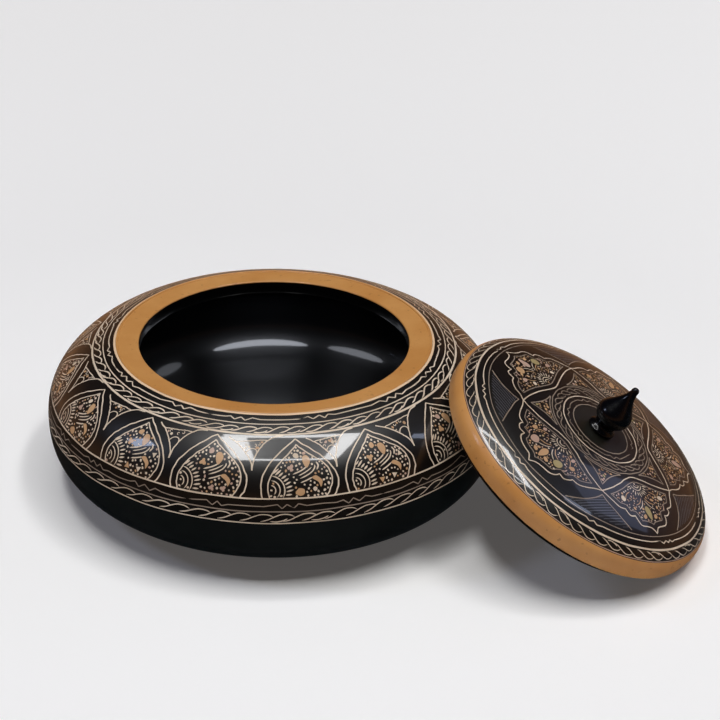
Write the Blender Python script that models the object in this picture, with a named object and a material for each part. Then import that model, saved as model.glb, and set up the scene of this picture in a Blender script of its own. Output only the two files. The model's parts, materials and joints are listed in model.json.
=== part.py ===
"""Turned and lacquered wooden bowl with a domed lid, the lid set down leaning on the bowl.

Three turned pieces: the bowl, the lid and the knob glued into the lid.
Metres, +Z up. The origin is on the bowl's own axis, in the plane of its foot.
"""
import math

import bpy
from mathutils import Matrix, Vector

MM = 0.001

# --- bowl, outside ---------------------------------------------------------
BOWL_R = 100.0 * MM             # widest point of the belly
BELLY_Z = 31.5 * MM             # height of the widest point
BELLY_CENTRE_R = 50.0 * MM      # centre of the lower belly curve
BELLY_POWER = 2.5
SHOULDER_CENTRE_R = 45.0 * MM   # centre of the shoulder curve
SHOULDER_POWER = 2.2
SEAT_OUTER_R = 69.0 * MM        # golden seat band, outer edge
SEAT_OUTER_Z = 64.0 * MM        # the shoulder curve rises to meet it
SEAT_BEAD_W = 1.1 * MM          # fine raised bead along the outer edge of the seat
SEAT_BEAD_H = 0.35 * MM
SEAT_FALL = 1.0 * MM            # the seat falls this much towards the mouth
MOUTH_R = 59.0 * MM
MOUTH_EDGE_R = 0.6 * MM
FOOT_R = 62.0 * MM
FOOT_H = 1.2 * MM
FOOT_CHAMFER = 0.4 * MM

# --- bowl, inside ----------------------------------------------------------
BOWL_WALL = 8.5 * MM            # at the widest point
NECK_DEPTH = 5.6 * MM           # straight part below the mouth's edge
FLOOR_Z = 9.0 * MM
FLOOR_CURVE_R = 48.0 * MM       # the flat floor ends here

# --- lid -------------------------------------------------------------------
LID_R = 61.5 * MM
DOME_H = 15.0 * MM              # crown above the widest plane
DOME_POWER = 2.5
RIM_H = 3.9 * MM                # golden rim below the widest plane
RIM_ROUND = 0.8 * MM
SPIGOT_CLEARANCE = 0.6 * MM     # radial, in the bowl's mouth
SPIGOT_H = 3.0 * MM
SPIGOT_W = 3.4 * MM
SPIGOT_CHAMFER = 0.5 * MM
CROWN_T = 6.5 * MM              # wood left under the crown
HOLLOW_POWER = 2.6

# --- knob ------------------------------------------------------------------
KNOB_H = 24.4 * MM
KNOB_COLLAR_R = 5.9 * MM
KNOB_COLLAR_H = 1.5 * MM
KNOB_NECK_R = 4.5 * MM
KNOB_NECK_Z = 3.0 * MM
KNOB_BODY_R = 7.6 * MM
KNOB_BODY_Z = 9.4 * MM
KNOB_WAIST_R = 2.5 * MM
KNOB_WAIST_Z = 18.6 * MM
KNOB_TIP_R = 1.5 * MM
TENON_R = 3.0 * MM
TENON_L = 3.6 * MM
TENON_CLEARANCE = 0.15 * MM
GLUE_GAP = 0.3 * MM             # under the collar and under the tenon

# --- how the lid is set down ----------------------------------------------
LEAN_TILT = math.radians(30.5)      # lid axis away from vertical
LEAN_BEARING = math.radians(-22.0)  # side of the bowl it leans on, from +X
REST_GAP = 0.3 * MM                 # lid to bowl where they would touch
FLOOR_GAP = 0.1 * MM                # lid rim above the table
LEAN_STEPS = 17                     # places round a quarter of the rim where the gap is measured
LEAN_SPACING = 2.0 * MM             # and across the rim and underside

BOWL_SEGMENTS = 80
LID_SEGMENTS = 80
KNOB_SEGMENTS = 36


def quarter(centre_r, centre_z, a, b, power, start, end, count):
    """Points of a superellipse quarter; angles from the +R direction, b signed."""
    points = []
    for i in range(count):
        t = start + (end - start) * i / (count - 1)
        r = centre_r + a * abs(math.cos(t)) ** (2.0 / power)
        z = centre_z + b * abs(math.sin(t)) ** (2.0 / power)
        points.append((r, z))
    return points


def angle_at_r(r, centre_r, a, power):
    """Parameter at which the superellipse quarter passes radius r."""
    return math.acos(((r - centre_r) / a) ** (power / 2.0))


def rise_to(z, angle):
    """Height of a shoulder curve that passes height z at this angle."""
    return (z - BELLY_Z) / abs(math.sin(angle)) ** (2.0 / SHOULDER_POWER)


def bowl_outside():
    """Outer profile from the seat's inner edge down to the foot's centre."""
    a = BOWL_R - SHOULDER_CENTRE_R
    start = angle_at_r(SEAT_OUTER_R, SHOULDER_CENTRE_R, a, SHOULDER_POWER)
    rise = rise_to(SEAT_OUTER_Z, start)
    seat_in_z = SEAT_OUTER_Z - SEAT_FALL
    points = [(MOUTH_R, seat_in_z - MOUTH_EDGE_R)]
    points.append((MOUTH_R + 0.3 * MOUTH_EDGE_R, seat_in_z - 0.3 * MOUTH_EDGE_R))
    points.append((MOUTH_R + MOUTH_EDGE_R, seat_in_z))
    points.append((SEAT_OUTER_R - SEAT_BEAD_W, SEAT_OUTER_Z - 0.1 * MM))
    points.append((SEAT_OUTER_R - 0.75 * SEAT_BEAD_W, SEAT_OUTER_Z + 0.8 * SEAT_BEAD_H))
    points.append((SEAT_OUTER_R - 0.45 * SEAT_BEAD_W, SEAT_OUTER_Z + SEAT_BEAD_H))
    points.append((SEAT_OUTER_R - 0.15 * SEAT_BEAD_W, SEAT_OUTER_Z + 0.7 * SEAT_BEAD_H))
    points += quarter(SHOULDER_CENTRE_R, BELLY_Z, a, rise, SHOULDER_POWER, start, 0.0, 16)
    belly_drop = BELLY_Z - FOOT_H
    a = BOWL_R - BELLY_CENTRE_R
    end = angle_at_r(FOOT_R + 1.0 * MM, BELLY_CENTRE_R, a, BELLY_POWER)
    points += quarter(BELLY_CENTRE_R, BELLY_Z, a, -belly_drop, BELLY_POWER, 0.0, end, 14)[1:]
    points.append((FOOT_R, FOOT_H))
    points.append((FOOT_R, FOOT_CHAMFER))
    points.append((FOOT_R - FOOT_CHAMFER, 0.0))
    points.append((0.0, 0.0))
    return points


def bowl_inside():
    """Inner profile from the floor's centre up to the mouth."""
    neck_z = SEAT_OUTER_Z - SEAT_FALL - MOUTH_EDGE_R - NECK_DEPTH
    a_low = BOWL_R - BOWL_WALL - FLOOR_CURVE_R
    points = [(0.0, FLOOR_Z), (0.5 * FLOOR_CURVE_R, FLOOR_Z)]
    points += quarter(FLOOR_CURVE_R, BELLY_Z, a_low, FLOOR_Z - BELLY_Z, BELLY_POWER, 0.5 * math.pi, 0.0, 10)
    a_top = BOWL_R - BOWL_WALL - SHOULDER_CENTRE_R
    end = angle_at_r(MOUTH_R + 0.5 * MM, SHOULDER_CENTRE_R, a_top, SHOULDER_POWER)
    rise = rise_to(neck_z, end)
    points += quarter(SHOULDER_CENTRE_R, BELLY_Z, a_top, rise, SHOULDER_POWER, 0.0, end, 10)[1:]
    points.append((MOUTH_R, neck_z + 1.0 * MM))
    return points


def dome_z(r):
    """Height of the lid's outer skin above its widest plane."""
    return DOME_H * (1.0 - (r / LID_R) ** DOME_POWER) ** (1.0 / DOME_POWER)


def lid_profile():
    """Closed profile of the lid, from the knob's bore round to the hollow's centre."""
    bore_r = TENON_R + TENON_CLEARANCE
    bore_z = dome_z(bore_r) - TENON_L - GLUE_GAP
    spigot_r = MOUTH_R - SPIGOT_CLEARANCE
    hollow_r = spigot_r - SPIGOT_W
    hollow_z = DOME_H - CROWN_T
    foot_z = -RIM_H - SPIGOT_H
    points = [(0.0, bore_z), (bore_r, bore_z)]
    start = angle_at_r(bore_r, 0.0, LID_R, DOME_POWER)
    points += quarter(0.0, 0.0, LID_R, DOME_H, DOME_POWER, start, 0.0, 20)
    points.append((LID_R - 0.1 * MM, -0.45 * RIM_H))
    points.append((LID_R - 0.2 * MM - 0.1 * RIM_ROUND, -RIM_H + 0.7 * RIM_ROUND))
    points.append((LID_R - 0.2 * MM - 0.4 * RIM_ROUND, -RIM_H + 0.2 * RIM_ROUND))
    points.append((LID_R - 0.2 * MM - RIM_ROUND, -RIM_H))
    points.append((spigot_r, -RIM_H))
    points.append((spigot_r, foot_z + SPIGOT_CHAMFER))
    points.append((spigot_r - SPIGOT_CHAMFER, foot_z))
    points.append((hollow_r + SPIGOT_CHAMFER, foot_z))
    points.append((hollow_r, foot_z + SPIGOT_CHAMFER))
    depth = hollow_z - foot_z - 2.0 * SPIGOT_CHAMFER
    base = foot_z + 2.0 * SPIGOT_CHAMFER
    points += quarter(0.0, base, hollow_r, depth, HOLLOW_POWER, 0.0, 0.5 * math.pi, 14)[:-1]
    points.append((0.0, hollow_z))
    return points


def smooth_through(knots, count):
    """Catmull-Rom points through the knots, ends doubled."""
    padded = [knots[0]] + knots + [knots[-1]]
    points = []
    for i in range(1, len(padded) - 2):
        for step in range(count):
            t = step / count
            point = []
            for axis in range(2):
                p0, p1, p2, p3 = (padded[i + k - 1][axis] for k in range(4))
                value = 2.0 * p1 + (p2 - p0) * t + (2.0 * p0 - 5.0 * p1 + 4.0 * p2 - p3) * t * t
                value += (3.0 * p1 - p0 - 3.0 * p2 + p3) * t ** 3
                point.append(0.5 * value)
            points.append(tuple(point))
    points.append(knots[-1])
    return points


def knob_profile():
    """Closed profile of the knob from its tip down to the tenon's end; z = 0 is the lid's skin."""
    base = dome_z(KNOB_COLLAR_R) - dome_z(0.0) + GLUE_GAP
    knots = [(0.0, KNOB_H)]
    knots.append((0.75 * KNOB_TIP_R, KNOB_H - 0.3 * KNOB_TIP_R))
    knots.append((KNOB_TIP_R, KNOB_H - 1.0 * KNOB_TIP_R))
    knots.append((KNOB_TIP_R, KNOB_H - 1.9 * KNOB_TIP_R))
    knots.append((KNOB_WAIST_R, KNOB_WAIST_Z))
    knots.append((0.5 * (KNOB_WAIST_R + KNOB_BODY_R), 0.45 * KNOB_WAIST_Z + 0.55 * KNOB_BODY_Z))
    knots.append((KNOB_BODY_R, KNOB_BODY_Z))
    knots.append((0.86 * KNOB_BODY_R, KNOB_BODY_Z - 3.6 * MM))
    knots.append((KNOB_NECK_R, KNOB_NECK_Z))
    knots.append((KNOB_COLLAR_R, KNOB_COLLAR_H))
    points = smooth_through(knots, 3)
    points.append((KNOB_COLLAR_R, base + 0.6 * MM))
    points.append((KNOB_COLLAR_R - 0.4 * MM, base + 0.2 * MM))
    points.append((TENON_R, GLUE_GAP))
    points.append((TENON_R, -TENON_L + 0.4 * MM))
    points.append((TENON_R - 0.4 * MM, -TENON_L))
    points.append((0.0, -TENON_L))
    return points


def rings_mesh(name, profile, segments):
    """Surface of revolution about Z; points on the axis become single poles."""
    verts = []
    rows = []
    for r, z in profile:
        if r < 1e-9:
            rows.append([len(verts)])
            verts.append((0.0, 0.0, z))
            continue
        row = []
        for i in range(segments):
            angle = 2.0 * math.pi * i / segments
            row.append(len(verts))
            verts.append((r * math.cos(angle), r * math.sin(angle), z))
        rows.append(row)
    faces = []
    for upper, lower in zip(rows, rows[1:]):
        for i in range(segments):
            j = (i + 1) % segments
            if len(upper) == 1:
                faces.append((upper[0], lower[i], lower[j]))
            elif len(lower) == 1:
                faces.append((upper[i], lower[0], upper[j]))
            else:
                faces.append((upper[i], lower[i], lower[j], upper[j]))
    mesh = bpy.data.meshes.new(name)
    mesh.from_pydata(verts, [], faces)
    mesh.update()
    return mesh


def material(name, colour, roughness, coat):
    made = bpy.data.materials.new(name)
    made.use_nodes = True
    shader = made.node_tree.nodes["Principled BSDF"]
    shader.inputs["Base Color"].default_value = (*colour, 1.0)
    shader.inputs["Roughness"].default_value = roughness
    shader.inputs["Metallic"].default_value = 0.0
    shader.inputs["Coat Weight"].default_value = coat
    return made


def turned(name, profile, segments, surface, parent=None, location=(0.0, 0.0, 0.0)):
    obj = bpy.data.objects.new(name, rings_mesh(name, profile, segments))
    bpy.context.scene.collection.objects.link(obj)
    obj.data.materials.append(surface)
    obj.data.shade_smooth()
    obj.data.set_sharp_from_angle(angle=math.radians(38.0))
    obj.parent = parent
    obj.location = location
    return obj


def segment_distance(point, a, b):
    ab = (b[0] - a[0], b[1] - a[1])
    length = ab[0] * ab[0] + ab[1] * ab[1]
    t = 0.0
    if length > 0.0:
        t = ((point[0] - a[0]) * ab[0] + (point[1] - a[1]) * ab[1]) / length
    t = min(1.0, max(0.0, t))
    return math.hypot(point[0] - a[0] - t * ab[0], point[1] - a[1] - t * ab[1])


def lean_matrix(distance):
    """Pose of the lid: its axis tipped away from the bowl, its rim on the table."""
    across = Vector((-math.sin(LEAN_BEARING), math.cos(LEAN_BEARING), 0.0))
    tip = Matrix.Rotation(LEAN_TILT, 4, across)
    turn = Matrix.Rotation(LEAN_BEARING, 4, "Z")
    lowest = min(z * math.cos(LEAN_TILT) - r * math.sin(LEAN_TILT) for r, z in lid_profile())
    place = Vector((distance * math.cos(LEAN_BEARING), distance * math.sin(LEAN_BEARING), FLOOR_GAP - lowest))
    return Matrix.Translation(place) @ tip @ turn


def filled_in(points, step):
    """The same profile with extra points, no two further apart than step."""
    dense = []
    for a, b in zip(points, points[1:]):
        parts = max(1, math.ceil(math.hypot(b[0] - a[0], b[1] - a[1]) / step))
        for i in range(parts):
            dense.append((a[0] + (b[0] - a[0]) * i / parts, a[1] + (b[1] - a[1]) * i / parts))
    return dense + [points[-1]]


def gap_to_bowl(distance, outline, rim):
    """Smallest distance from the lid's rim and underside to the bowl's profile."""
    pose = lean_matrix(distance)
    best = 1.0
    for r, z in rim:
        for i in range(LEAN_STEPS):
            angle = math.pi + i * 0.5 * math.pi / (LEAN_STEPS - 1)
            point = pose @ Vector((r * math.cos(angle), r * math.sin(angle), z))
            flat = (math.hypot(point.x, point.y), point.z)
            for a, b in zip(outline, outline[1:]):
                best = min(best, segment_distance(flat, a, b))
    return best


def lean_distance():
    """How far out the lid's centre stands so that its rim just clears the bowl."""
    outline = [p for p in bowl_outside() if p[0] > MOUTH_R and p[1] > 0.5 * BELLY_Z]
    rim = [p for p in filled_in(lid_profile(), LEAN_SPACING) if p[0] > 0.5 * LID_R and p[1] < 0.3 * DOME_H]
    near = BOWL_R + LID_R
    gap = gap_to_bowl(near, outline, rim)
    while gap > 2.0 * MM:
        near -= 0.8 * (gap - REST_GAP)
        gap = gap_to_bowl(near, outline, rim)
    low = near - 3.0 * MM
    high = near
    for _ in range(9):
        middle = 0.5 * (low + high)
        if gap_to_bowl(middle, outline, rim) > REST_GAP:
            high = middle
        else:
            low = middle
    return high


for old in list(bpy.data.objects):
    bpy.data.objects.remove(old, do_unlink=True)

black_lacquer = material("black_lacquer", (0.012, 0.011, 0.010), 0.22, 0.6)
lid_lacquer = material("lid_lacquer", (0.012, 0.011, 0.010), 0.20, 0.6)
knob_lacquer = material("knob_lacquer", (0.008, 0.008, 0.009), 0.15, 0.8)

turned("bowl_body", bowl_inside() + bowl_outside(), BOWL_SEGMENTS, black_lacquer)

lid_pose = bpy.data.objects.new("lid_pose", None)
bpy.context.scene.collection.objects.link(lid_pose)
lid_pose.matrix_world = lean_matrix(lean_distance())

lid = turned("lid", lid_profile(), LID_SEGMENTS, lid_lacquer, lid_pose)
turned("knob", knob_profile(), KNOB_SEGMENTS, knob_lacquer, lid_pose, (0.0, 0.0, DOME_H))
bpy.context.view_layer.update()
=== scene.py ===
"""Looks of the lacquered lidded bowl: turned forms, engraved line ornament, lacquer, light and camera.

Sizes inside this file are in millimetres unless a name says otherwise.
"""

import json
import math

import bpy
import numpy as np
from mathutils import Matrix, Vector


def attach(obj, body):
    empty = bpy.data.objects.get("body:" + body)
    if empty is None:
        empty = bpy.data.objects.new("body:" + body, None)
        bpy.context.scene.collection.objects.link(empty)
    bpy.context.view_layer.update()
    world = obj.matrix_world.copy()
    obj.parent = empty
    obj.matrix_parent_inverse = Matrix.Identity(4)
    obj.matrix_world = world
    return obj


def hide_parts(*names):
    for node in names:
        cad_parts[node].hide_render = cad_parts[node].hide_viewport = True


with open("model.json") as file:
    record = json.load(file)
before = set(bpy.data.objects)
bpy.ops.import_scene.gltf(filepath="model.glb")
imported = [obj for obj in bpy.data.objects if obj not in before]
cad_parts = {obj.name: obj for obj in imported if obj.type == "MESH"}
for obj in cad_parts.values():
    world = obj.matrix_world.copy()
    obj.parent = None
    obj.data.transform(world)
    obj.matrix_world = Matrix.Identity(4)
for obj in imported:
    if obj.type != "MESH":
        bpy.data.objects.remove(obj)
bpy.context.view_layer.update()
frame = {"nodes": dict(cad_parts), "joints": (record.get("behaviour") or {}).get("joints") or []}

MM = 0.001
TAU = 2.0 * math.pi

# --- turned forms, same sizes as the solids
BOWL_R, BELLY_Z, BELLY_CENTRE_R, BELLY_POWER = 100.0, 31.5, 50.0, 2.5
SHOULDER_CENTRE_R, SHOULDER_POWER = 45.0, 2.2
SEAT_OUTER_R, SEAT_OUTER_Z, SEAT_FALL = 69.0, 64.0, 1.0
BEAD_W, BEAD_H = 1.1, 0.35
MOUTH_R, MOUTH_EDGE_R, NECK_DEPTH = 59.0, 0.6, 5.6
FOOT_R, FOOT_H, FOOT_CHAMFER = 62.0, 1.2, 0.4
BOWL_WALL, FLOOR_Z, FLOOR_CURVE_R = 8.5, 9.0, 48.0
LID_R, DOME_H, DOME_POWER = 61.5, 15.0, 2.5
RIM_H, RIM_ROUND = 3.9, 0.8
SPIGOT_R, SPIGOT_W, SPIGOT_H, SPIGOT_CHAMFER = 58.4, 3.4, 3.0, 0.5
CROWN_T, HOLLOW_POWER = 6.5, 2.6
KNOB_H, KNOB_SEAT_Z = 24.4, 0.3
TENON_R, TENON_DEPTH, TENON_CHAMFER = 3.0, 3.6, 0.4
BOWL_SEGMENTS, LID_SEGMENTS, KNOB_SEGMENTS = 256, 256, 96
SHARP_ANGLE = math.radians(40.0)

# --- where the engraved bands and the painted edge highlight lie
# bowl, along the skin from the seat's outer edge
HIGHLIGHT_LINE_S, WAVE_1_S, FINE_1_S, CHAIN_1_S, LINE_A_S = 0.50, 3.2, 5.8, 8.5, 10.8
LINE_B_S = 36.9
WAVE_2_S, FINE_2_S, CHAIN_2_S, LINE_C_S = 39.9, 42.1, 44.6, 47.0
ARCHES = 16
ARCH_ANGLES = [-59.5, -36.8, -15.8, 5.8, 26.0, 49.5]   # the six at the front
# lid, radius from its centre
GOLD_R, LID_CHAIN_R, LID_BOLD_R, LID_WAVE_R, LID_FINE_R = 59.7, 57.8, 55.9, 53.2, 51.0
VERTEX_R, SIDE_MID_R = 36.9, 24.9
VERTEX_ANGLES = [125.0, 205.5, 286.0, 353.5, 420.0]
CENTRE_CURVE_R, CENTRE_CHAIN_R, CENTRE_BOLD_R, CENTRE_SCRIBBLE_R, DISC_R = 23.3, 20.7, 17.9, 15.6, 13.2

BOLD = 0.82                     # width of the heaviest line
LIFT, LIFT_STEP, LIFT_STEPS = 0.030, 0.0016, 14   # how far the engraving stands over its skin
SAME_HEIGHT = 0.05              # points this close in height count as level

# --- inks of the engraving and of the painted edge highlight, places in INKS ---
CREAM, TAN, PINK, OLIVE, HIGHLIGHT_INK, GREY, DIM = range(7)
# --- colour slots of the bowl ---
OUTSIDE, HOLLOW, OCHRE, BEAD_HIGHLIGHT, FOOT, LOWER_BAND = range(6)


# ---------- profiles
def quarter(cr, cz, a, b, power, start, end, count):
    t = np.linspace(start, end, count)
    r = cr + a * np.abs(np.cos(t)) ** (2.0 / power)
    z = cz + b * np.abs(np.sin(t)) ** (2.0 / power)
    return [tuple(p) for p in np.c_[r, z]]


def angle_at_r(r, cr, a, power):
    return math.acos(((r - cr) / a) ** (power / 2.0))


def lerp_points(p, q, count):
    return [(p[0] + (q[0] - p[0]) * i / count, p[1] + (q[1] - p[1]) * i / count) for i in range(count)]


def bowl_profile():
    """Points and the colour zone of the strip that starts at each point."""
    pts = []
    a_low = BOWL_R - BOWL_WALL - FLOOR_CURVE_R
    inner = [(0.0, FLOOR_Z)] + lerp_points((12.0, FLOOR_Z), (FLOOR_CURVE_R, FLOOR_Z), 3)
    inner += quarter(FLOOR_CURVE_R, BELLY_Z, a_low, FLOOR_Z - BELLY_Z, BELLY_POWER, 0.5 * math.pi, 0.0, 30)
    a_top = BOWL_R - BOWL_WALL - SHOULDER_CENTRE_R
    neck_z = SEAT_OUTER_Z - SEAT_FALL - MOUTH_EDGE_R - NECK_DEPTH
    end = angle_at_r(MOUTH_R + 0.5, SHOULDER_CENTRE_R, a_top, SHOULDER_POWER)
    rise = (neck_z - BELLY_Z) / abs(math.sin(end)) ** (2.0 / SHOULDER_POWER)
    inner += quarter(SHOULDER_CENTRE_R, BELLY_Z, a_top, rise, SHOULDER_POWER, 0.0, end, 30)[1:]
    inner.append((MOUTH_R, neck_z + 1.0))
    inner.append((MOUTH_R, SEAT_OUTER_Z - SEAT_FALL - 2.2))
    pts += [(p, "inside") for p in inner]
    seat_z = SEAT_OUTER_Z - SEAT_FALL
    for k in range(6):
        t = math.radians(180.0 - 18.0 * k)
        r = MOUTH_R + MOUTH_EDGE_R * (1.0 + math.cos(t))
        pts.append(((r, seat_z - MOUTH_EDGE_R * (1.0 - math.sin(t))), "gold"))
    start = (SEAT_OUTER_R - BEAD_W, SEAT_OUTER_Z - 0.1)
    pts += [(p, "gold") for p in lerp_points(pts[-1][0], start, 5)[1:]]
    pts.append((start, "gold"))
    for k in range(1, 8):
        t = math.pi * (1.0 - k / 8.0)
        r = SEAT_OUTER_R - 0.5 * BEAD_W * (1.0 - math.cos(t))
        pts.append(((r, SEAT_OUTER_Z + BEAD_H * math.sin(t)), "gold"))
    # the strip at the bead's outer end takes a paler colour: a painted highlight on the raised edge
    pts = pts[:-1] + [(pts[-1][0], "edge")]
    a = BOWL_R - SHOULDER_CENTRE_R
    t0 = angle_at_r(SEAT_OUTER_R, SHOULDER_CENTRE_R, a, SHOULDER_POWER)
    rise = (SEAT_OUTER_Z - BELLY_Z) / abs(math.sin(t0)) ** (2.0 / SHOULDER_POWER)
    outer = quarter(SHOULDER_CENTRE_R, BELLY_Z, a, rise, SHOULDER_POWER, t0, 0.0, 90)
    a2 = BOWL_R - BELLY_CENTRE_R
    t1 = angle_at_r(FOOT_R + 1.0, BELLY_CENTRE_R, a2, BELLY_POWER)
    outer += quarter(BELLY_CENTRE_R, BELLY_Z, a2, -(BELLY_Z - FOOT_H), BELLY_POWER, 0.0, t1, 60)[1:]
    pts += [(p, "outside") for p in outer]
    foot = [(FOOT_R, FOOT_H), (FOOT_R, FOOT_CHAMFER), (FOOT_R - FOOT_CHAMFER, 0.0), (30.0, 0.0), (0.0, 0.0)]
    return pts + [(p, "foot") for p in foot]


def dome_z(r):
    return DOME_H * np.clip(1.0 - (np.asarray(r) / LID_R) ** DOME_POWER, 0.0, 1.0) ** (1.0 / DOME_POWER)


def lid_profile():
    pts = [((0.0, DOME_H), "disc")]
    start = angle_at_r(1.5, 0.0, LID_R, DOME_POWER)
    for p in quarter(0.0, 0.0, LID_R, DOME_H, DOME_POWER, start, 0.0, 110):
        zone = "disc" if p[0] < DISC_R - 0.3 else ("dome" if p[0] < GOLD_R else "gold")
        pts.append((p, zone))
    r = LID_R - 0.2
    pts.append(((LID_R - 0.03, -0.2 * RIM_H), "gold"))
    pts.append(((LID_R - 0.1, -0.45 * RIM_H), "gold"))
    for k in range(7):
        t = math.radians(15.0 * k)
        z = -RIM_H + RIM_ROUND - RIM_ROUND * math.sin(t)
        pts.append(((r - RIM_ROUND + RIM_ROUND * math.cos(t), z), "gold"))
    foot_z = -RIM_H - SPIGOT_H
    hollow_r = SPIGOT_R - SPIGOT_W
    pts[-1] = (pts[-1][0], "under")
    under = [(SPIGOT_R, -RIM_H), (SPIGOT_R, foot_z + SPIGOT_CHAMFER), (SPIGOT_R - SPIGOT_CHAMFER, foot_z)]
    under += [(hollow_r + SPIGOT_CHAMFER, foot_z), (hollow_r, foot_z + SPIGOT_CHAMFER)]
    base = foot_z + 2.0 * SPIGOT_CHAMFER
    depth = DOME_H - CROWN_T - base
    under += quarter(0.0, base, hollow_r, depth, HOLLOW_POWER, 0.0, 0.5 * math.pi - 0.03, 40)
    under.append((0.0, DOME_H - CROWN_T))
    return pts + [(p, "under") for p in under]


def catmull(knots, count, closed=False):
    """Smooth curve through the knots, count points to a span."""
    k = np.asarray(knots, float)
    k = np.vstack([k[-1], k, k[:2]]) if closed else np.vstack([2 * k[0] - k[1], k, 2 * k[-1] - k[-2]])
    t = np.linspace(0.0, 1.0, count, endpoint=False)[:, None]
    out = []
    for i in range(1, len(k) - 2):
        p0, p1, p2, p3 = k[i - 1], k[i], k[i + 1], k[i + 2]
        square, cube = 2 * p0 - 5 * p1 + 4 * p2 - p3, 3 * p1 - p0 - 3 * p2 + p3
        out.append(0.5 * (2 * p1 + (p2 - p0) * t + square * t * t + cube * t ** 3))
    return np.vstack(out + ([] if closed else [k[-2:-1]]))


def knob_profile():
    """From the tip down over the pear and the collar, then the tenon that goes into the lid."""
    knots = [(0.0, KNOB_H), (1.0, 24.15), (1.5, 23.3), (1.62, 22.0), (1.9, 20.6), (2.6, 18.6)]
    knots += [(3.9, 16.2), (5.6, 13.6), (7.1, 11.2), (7.55, 9.2), (7.0, 7.0), (5.6, 5.0)]
    knots += [(4.6, 3.6), (4.5, 2.7), (5.1, 2.0), (5.9, 1.3), (6.0, 0.9), (5.9, 0.45)]
    pts = [(tuple(p), "knob") for p in catmull(knots, 6)]
    pts[0] = ((0.0, KNOB_H), "knob")
    tenon = [(5.5, 0.32), (TENON_R, KNOB_SEAT_Z), (TENON_R, TENON_CHAMFER - TENON_DEPTH)]
    tenon += [(TENON_R - TENON_CHAMFER, -TENON_DEPTH), (0.0, -TENON_DEPTH)]
    pts += [(p, "knob") for p in tenon]
    return [((max(r, 0.0), z), zone) for (r, z), zone in pts]


# ---------- meshes
def make_object(name, verts, faces, materials, indices):
    mesh = bpy.data.meshes.new(name)
    mesh.from_pydata(verts, [], faces)
    for m in materials:
        mesh.materials.append(m)
    mesh.polygons.foreach_set("material_index", np.asarray(indices, dtype=np.int32))
    mesh.shade_smooth()
    mesh.set_sharp_from_angle(angle=SHARP_ANGLE)
    mesh.update()
    obj = bpy.data.objects.new(name, mesh)
    bpy.context.scene.collection.objects.link(obj)
    return obj


def lathe(name, profile, segments, zones, materials, place):
    """Turns a profile round Z, each strip in the colour slot of its zone, and puts it in place."""
    verts, rows, faces, index = [], [], [], []
    ang = np.arange(segments) * TAU / segments
    for (r, z), _ in profile:
        if r < 1e-6:
            rows.append([len(verts)])
            verts.append((0.0, 0.0, z * MM))
        else:
            rows.append(list(range(len(verts), len(verts) + segments)))
            verts += [(r * MM * math.cos(a), r * MM * math.sin(a), z * MM) for a in ang]
    for k in range(len(rows) - 1):
        up, low = rows[k], rows[k + 1]
        zone = zones[profile[k][1]]
        for i in range(segments):
            j = (i + 1) % segments
            if len(up) == 1:
                faces.append((up[0], low[i], low[j]))
            elif len(low) == 1:
                faces.append((up[i], low[0], up[j]))
            else:
                faces.append((up[i], low[i], low[j], up[j]))
            index.append(zone)
    obj = make_object(name, verts, faces, materials, index)
    obj.data.transform(place)
    return obj


class Skin:
    """Maps flat drawing coordinates in mm onto a turned skin, with normals."""

    def __init__(self, place):
        self.place = np.array(place)

    def world(self, pts, nrm):
        m = self.place
        scale = np.c_[pts * MM, np.ones(len(pts))]
        return (scale @ m.T)[:, :3], nrm @ m[:3, :3].T


class BowlSkin(Skin):
    """u in degrees round from -Y towards +X, s in mm down the skin from the seat's edge."""

    def __init__(self, place):
        super().__init__(place)
        out = np.array([p for p, zone in bowl_profile() if zone == "outside"])
        self.r, self.z = out.T
        self.s = np.r_[0.0, np.cumsum(np.hypot(np.diff(self.r), np.diff(self.z)))]
        tr, tz = np.gradient(self.r, self.s), np.gradient(self.z, self.s)
        self.nr, self.nz = -tz, tr

    def at(self, uv):
        u, s = np.radians(uv[:, 0]), uv[:, 1]
        r, z = np.interp(s, self.s, self.r), np.interp(s, self.s, self.z)
        nr, nz = np.interp(s, self.s, self.nr), np.interp(s, self.s, self.nz)
        pts = np.c_[r * np.sin(u), -r * np.cos(u), z]
        return self.world(pts, np.c_[nr * np.sin(u), -nr * np.cos(u), nz])


class LidSkin(Skin):
    """x, y in mm across the lid as seen along its axis."""

    def at(self, xy):
        r = np.hypot(xy[:, 0], xy[:, 1])
        slope = (dome_z(r + 0.02) - dome_z(np.maximum(r - 0.02, 0.0))) / 0.04
        rr = np.maximum(r, 1e-6)
        nrm = np.c_[-slope * xy[:, 0] / rr, -slope * xy[:, 1] / rr, np.ones(len(xy))]
        nrm /= np.linalg.norm(nrm, axis=1)[:, None]
        return self.world(np.c_[xy, dome_z(r)], nrm)


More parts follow.
